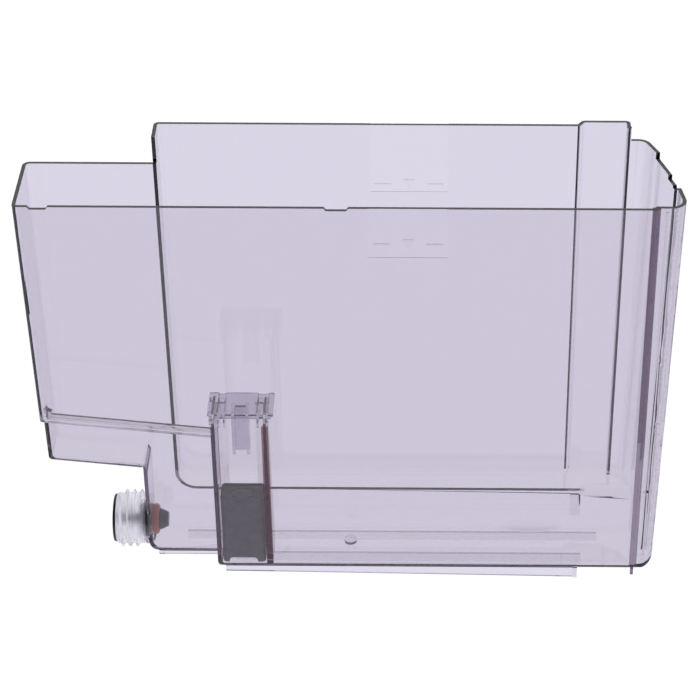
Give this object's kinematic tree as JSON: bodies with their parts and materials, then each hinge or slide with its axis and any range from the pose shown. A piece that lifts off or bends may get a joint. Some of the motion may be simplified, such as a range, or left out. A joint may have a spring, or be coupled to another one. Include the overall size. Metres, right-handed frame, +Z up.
{
  "type": "fresh water tank",
  "caption": "Tall narrow fresh water tank of a coffee machine: clear smoky plastic, stepped bottom, threaded outlet with sprung valve, magnet float in a channel.",
  "frame": {"origin": "middle of the outer box, on the surface that the tank stands on", "axes": "+Z up, +X towards the end away from the outlet, +Y from the flat front wall towards the stepped back"},
  "size_m": [0.3447, 0.0657, 0.2616],
  "materials": {
    "clear_plastic": "clear, faintly smoky violet, glossy",
    "cage_plastic": "clear, darker smoky, glossy",
    "float_plastic": "dark grey, translucent looking, semi-gloss",
    "white_plastic": "milky white with a violet cast, semi-gloss",
    "dark_rubber": "black, satin",
    "orange_rubber": "orange red, satin",
    "grey_plastic": "mid grey, satin",
    "steel": "bright drawn wire",
    "magnet": "dark, matt"
  },
  "bodies": {
    "tank": {"tank_shell": "clear_plastic", "float_cage_cap": "cage_plastic", "outlet_spigot": "white_plastic", "mouth_seal": "dark_rubber", "spigot_seal": "dark_rubber", "valve_body": "white_plastic", "valve_spring": "steel"},
    "float": {"float_shell": "float_plastic", "float_lid": "float_plastic", "float_magnet": "magnet"},
    "valve": {"valve_poppet": "grey_plastic", "poppet_o_ring": "orange_rubber", "spring_retainer": "grey_plastic"}
  },
  "joints": [
    {"name": "float_rise", "type": "slide", "parent": "tank", "child": "float", "axis": [0, 0, 1], "range_m": [0, 0.03]},
    {"name": "valve_push", "type": "slide", "parent": "tank", "child": "valve", "axis": [1, 0, 0], "range_m": [0, 0.005], "stiffness_N_per_m": 300, "springref_m": -0.005, "deforming": ["valve_spring"]}
  ]
}
